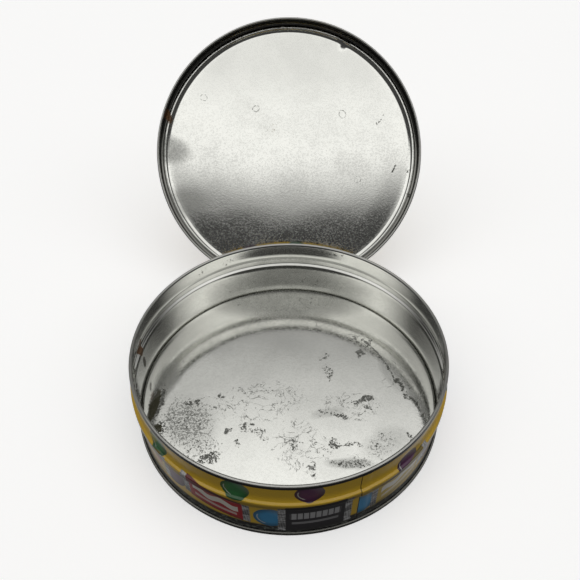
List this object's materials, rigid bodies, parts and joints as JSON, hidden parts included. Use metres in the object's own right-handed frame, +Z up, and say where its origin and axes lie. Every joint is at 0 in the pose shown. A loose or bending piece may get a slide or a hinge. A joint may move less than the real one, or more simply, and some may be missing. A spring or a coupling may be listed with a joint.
{
  "type": "lithographed tin",
  "caption": "Round shallow tinplate tin with a printed wall, a curled rim and a stop bead, and its drawn slip lid leaning behind it.",
  "frame": {"origin": "centre of the tin's inner floor, on the tin's axis", "axes": "+Z up out of the tin's mouth, +Y back towards the leaning lid, +X to the right seen from the front"},
  "size_m": [0.2056, 0.3368, 0.1702],
  "materials": {
    "wall_print": "glossy varnished print outside, bare bright tinplate inside",
    "base_tinplate": "bare bright tinplate, mottled and stained",
    "lid_print": "bare bright tinplate inside, glossy varnished print outside"
  },
  "bodies": {
    "tin": {"body_wall": "wall_print", "base_plate": "base_tinplate"},
    "lid": {"lid": "lid_print"}
  },
  "joints": [
    {"name": "lid_swing", "type": "hinge", "parent": "tin", "child": "lid", "pos_m": [0, 0.09343, 0.01887], "axis": [1, 0, 0], "range_deg": [0, 127.5]}
  ]
}
